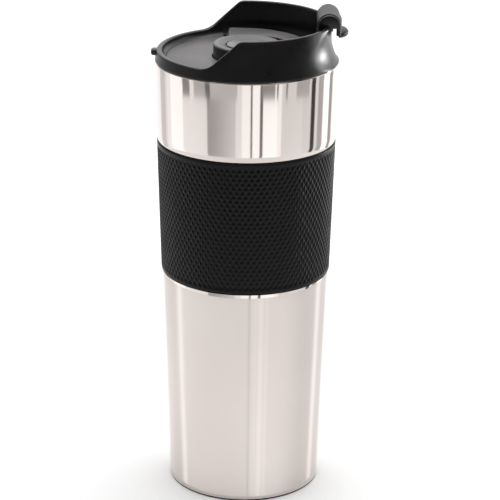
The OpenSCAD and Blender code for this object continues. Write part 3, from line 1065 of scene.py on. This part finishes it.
def glow(name, strength):
    """A plain white lit surface."""
    material = bpy.data.materials.new(name)
    material.use_nodes = True
    nodes = material.node_tree.nodes
    nodes.clear()
    emission = nodes.new("ShaderNodeEmission")
    emission.inputs["Color"].default_value = (1, 1, 1, 1)
    emission.inputs["Strength"].default_value = strength
    output = nodes.new("ShaderNodeOutputMaterial")
    material.node_tree.links.new(emission.outputs["Emission"], output.inputs["Surface"])
    return material


def stage_surface(name, points, faces, material, reflected_only=False):
    """Makes a surface of the studio. With reflected_only it shows in reflections alone."""
    mesh = bpy.data.meshes.new(name)
    mesh.from_pydata(points, [], faces)
    mesh.materials.append(material)
    obj = bpy.data.objects.new(name, mesh)
    bpy.context.scene.collection.objects.link(obj)
    if reflected_only:
        obj.visible_camera = False
        obj.visible_diffuse = False
        obj.visible_shadow = False
        obj.visible_transmission = False
        obj.visible_volume_scatter = False
    return obj


def curved_wall(start_deg, end_deg, radius, low, high):
    """Points and faces of an upright wall round the mug, in metres.
    Angles are from the camera's side (-Y), positive towards +X."""
    step_deg = 3.0
    steps = max(2, int(abs(end_deg - start_deg) / step_deg))
    points = []
    for k in range(steps + 1):
        a = radians(start_deg + (end_deg - start_deg) * k / steps)
        for z in (low, high):
            points.append((radius * sin(a), -radius * cos(a), z))
    faces = [(2 * k, 2 * k + 1, 2 * k + 3, 2 * k + 2) for k in range(steps)]
    return points, faces


def flag(name, start_deg, end_deg, radius, low, high, strength):
    """A curved panel out of the camera's sight that lights or darkens one side."""
    points, faces = curved_wall(start_deg, end_deg, radius, low, high)
    obj = stage_surface(name, points, faces, glow(name, strength))
    obj.visible_camera = False
    return obj


def mirror_angle(across, mug_r, radius):
    """Where a reflection seen at a fraction of the mug's half width meets a ring round it."""
    return 2 * asin(across) - asin(mug_r * across / radius)


def card_material(name):
    """A see-through surface. The tone's red part dims what is behind it, its green part glows."""
    material = bpy.data.materials.new(name)
    material.use_nodes = True
    nodes = material.node_tree.nodes
    links = material.node_tree.links
    nodes.clear()
    attribute = nodes.new("ShaderNodeAttribute")
    attribute.attribute_name = "tone"
    split = nodes.new("ShaderNodeSeparateColor")
    veil = nodes.new("ShaderNodeBsdfTransparent")
    gleam = nodes.new("ShaderNodeEmission")
    both = nodes.new("ShaderNodeAddShader")
    output = nodes.new("ShaderNodeOutputMaterial")
    links.new(attribute.outputs["Color"], split.inputs["Color"])
    links.new(split.outputs["Red"], veil.inputs["Color"])
    links.new(split.outputs["Green"], gleam.inputs["Strength"])
    links.new(veil.outputs["BSDF"], both.inputs[0])
    links.new(gleam.outputs["Emission"], both.inputs[1])
    links.new(both.outputs["Shader"], output.inputs["Surface"])
    return material


def reflection_card(name, levels, tone):
    """A see-through curved card that only reflections show: tone(across, z) dims or lights it.
    Each level is the mug's radius, the card's radius and its height. Across runs from -1 to 1
    over the mug's width as the camera sees it."""
    columns = 600
    reach = 0.97
    points = []
    tones = []
    for k in range(columns + 1):
        across = -reach + 2 * reach * k / columns
        for mug_r, radius, z in levels:
            a = mirror_angle(across, mug_r, radius)
            points.append((radius * sin(a), -radius * cos(a), z))
            tones.append(tone(across, z))
    count = len(levels)
    faces = []
    for k in range(columns):
        for i in range(count - 1):
            a = k * count + i
            faces.append((a, a + 1, a + count + 1, a + count))
    obj = stage_surface(name, points, faces, card_material(name), reflected_only=True)
    layer = obj.data.color_attributes.new("tone", "FLOAT_COLOR", "POINT")
    for i, t in enumerate(tones):
        layer.data[i].color = (min(t, 1.0), max(t - 1.0, 0.0), 0, 1)


def strip(across, start, end):
    """1 between two positions across the mug, 0 outside, with soft edges."""
    soft = 0.006
    rise = smooth((across - start) / soft + 0.5)
    fall = smooth((end - across) / soft + 0.5)
    return min(rise, fall)


PAINTED_REFLECTION_SPLIT_Z = 0.0985  # above this height of the card the painted room reflection has extra dark patches


def painted_room_reflection_tone(across, z):
    """Painted reflection for the steel wall above the sleeve: brightness in upright strips, like a room's windows
    and door frames, on a card that only reflections show.
    Each strip is its start, its end and its level. All were set one by one."""
    tone = 1.0
    strips = [
        (-0.99, -0.94, 1.1), (-0.94, -0.89, 0.75), (-0.87, -0.83, 1.2), (-0.83, -0.695, 1.55),
        (-0.695, -0.43, 1.22), (-0.12, -0.05, 1.25), (-0.05, 0.046, 1.55), (0.046, 0.066, 0.22),
        (0.066, 0.148, 1.62), (0.148, 0.18, 0.22), (0.18, 0.34, 1.65), (0.34, 0.385, 1.45),
        (0.385, 0.615, 1.06), (0.615, 0.704, 0.95), (0.704, 0.749, 0.06), (0.749, 0.78, 0.95),
        (0.78, 0.835, 0.5), (0.84, 0.90, 1.62), (0.90, 0.935, 0.4), (0.935, 0.99, 1.2),
    ]
    for start, end, level in strips:
        tone += (level - tone) * strip(across, start, end)
    # Painted reflection that is darker on the left and lightens to the right over this span.
    fade_start = -0.43
    fade_end = -0.12
    fade = 0.54 + 0.44 * smooth((across - fade_start) / 0.36)
    tone += (fade - tone) * strip(across, fade_start, fade_end)
    if z > PAINTED_REFLECTION_SPLIT_Z:
        high_strips = [
            (-0.695, -0.617, 0.35), (-0.573, -0.45, 0.65), (-0.45, -0.396, 0.22),
            (-0.396, -0.1, 0.8), (0.168, 0.31, 0.45), (0.325, 0.345, 0.3), (0.425, 0.445, 0.35),
            (0.54, 0.68, 0.6),
        ]
        for start, end, level in high_strips:
            tone += (level - tone) * strip(across, start, end)
    return tone


def painted_floor_reflection_tone(across, z):
    """Painted reflection streaks along the lower steel wall, standing in for the floor and room that it would
    reflect.
    Each bump is its centre, its width and its level. All were set one by one."""
    # Painted shade: the reflection is dimmed toward both sides.
    left_painted_shade = 0.14 * smooth((-0.66 - across) / 0.22)
    right_painted_shade = 0.2 * smooth((across - 0.4) / 0.35)
    foot_z = 0.08
    foot_gain = 2.8
    tone = 0.98 - left_painted_shade - right_painted_shade
    bumps = [
        (-0.78, 0.035, 0.3), (0.052, 0.016, -0.14), (0.2, 0.1, 0.15), (0.148, 0.008, -0.08),
        (0.19, 0.006, 0.06), (0.232, 0.009, -0.1), (0.3, 0.007, -0.07), (0.872, 0.028, 0.36),
    ]
    for centre, width, amount in bumps:
        tone += amount * exp(-(((across - centre) / width) ** 2))
    # The painted reflection is made brighter towards the foot.
    return tone * (1 + foot_gain * max(foot_z - z, 0))


def build_floor():
    """Plain pale floor."""
    half = 3.0
    paper = bpy.data.materials.new("floor_paper")
    paper.use_nodes = True
    shader = paper.node_tree.nodes["Principled BSDF"]
    shader.inputs["Base Color"].default_value = (0.93, 0.93, 0.93, 1)
    shader.inputs["Roughness"].default_value = 0.9
    shader.inputs["Specular IOR Level"].default_value = 0.1
    corners = [(-half, -half, 0), (half, -half, 0), (half, half, 0), (-half, half, 0)]
    stage_surface("floor", corners, [(0, 1, 2, 3)], paper)


def build_world():
    """Even white light from all round."""
    world = bpy.data.worlds.new("studio")
    world.use_nodes = True
    background = world.node_tree.nodes["Background"]
    background.inputs["Color"].default_value = (1, 1, 1, 1)
    background.inputs["Strength"].default_value = 1.0
    bpy.context.scene.world = world


def build_lights():
    """Dark and bright panels round the mug, and the lamps."""
    # Each flag has its start and end angle, radius, low edge, high edge and strength
    flag("front_flag", -62, 93, 0.85, 0.1, 1.2, 0.02)
    flag("left_flag", -145, -62, 0.86, 0.1, 1.2, 0.3)
    flag("back_glow", 140, 215, 0.9, 0.26, 1.1, 1.35)
    flag("right_glow", 120, 134, 0.9, 0.12, 0.3, 1.7)
    soft_box("top_box", (0, 0.1, 1.4), (0, 0, 0.1), size=(1.6, 1.2), power=17)
    right_box = soft_box(
        "right_box", (0.721, 0.45, 0.155), (0, 0, 0.205), size=(0.2, 0.2), power=0.038,
    )
    right_box.data.spread = radians(12)
    lid_spot((0, 0.26, 1.17), (0, 0.003, 0.2), cone_deg=6.5, size=0.05, power=400)


def build_cards():
    """The two cards that paint the steel wall's reflections, above and below the sleeve."""
    mug_r = 0.0395
    room_card_r = 0.3
    room_card_heights = (0.028, PAINTED_REFLECTION_SPLIT_Z, PAINTED_REFLECTION_SPLIT_Z + 0.001, 0.125)
    reflection_card("room_reflection", [(mug_r, room_card_r, z) for z in room_card_heights], painted_room_reflection_tone)
    clearance = 3
    floor_levels = []
    floor_heights = (0.0, 25.0, 50.0, 75.0, 98.0)
    for z in floor_heights:
        floor_levels.append((body_r(z) * MM, (body_r(z) + clearance) * MM, z * MM))
    reflection_card("floor_reflection", floor_levels, painted_floor_reflection_tone)


def build_camera():
    """Camera at the photo's viewing angle."""
    location = (0, -0.982, 0.463)
    lens_mm = 168.12
    pitch = radians(-19.89)
    yaw = radians(0.12)
    roll = radians(0.5)
    data = bpy.data.cameras.new("camera")
    data.sensor_width = 36
    data.lens = lens_mm
    data.clip_start = 0.05
    data.clip_end = 20
    obj = bpy.data.objects.new("camera", data)
    bpy.context.scene.collection.objects.link(obj)
    forward = Vector((sin(yaw) * cos(pitch), cos(yaw) * cos(pitch), sin(pitch)))
    right = forward.cross(Vector((0, 0, 1))).normalized()
    up = right.cross(forward)
    x = right * cos(roll) + up * sin(roll)
    y = up * cos(roll) - right * sin(roll)
    z = -forward
    turn = Matrix((x, y, z)).transposed().to_4x4()
    obj.matrix_world = Matrix.Translation(location) @ turn
    bpy.context.scene.camera = obj


build_camera()
build_shell()
build_sleeve()
build_foot()
build_liner()
build_collar()
build_tray()
ledge_piece = build_ledge()
build_hook()
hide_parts("drink_flap")
build_knob()
build_cap()
build_spring()
dress_cad()
build_floor()
build_world()
build_lights()
build_cards()
bpy.context.scene.view_settings.view_transform = "Standard"
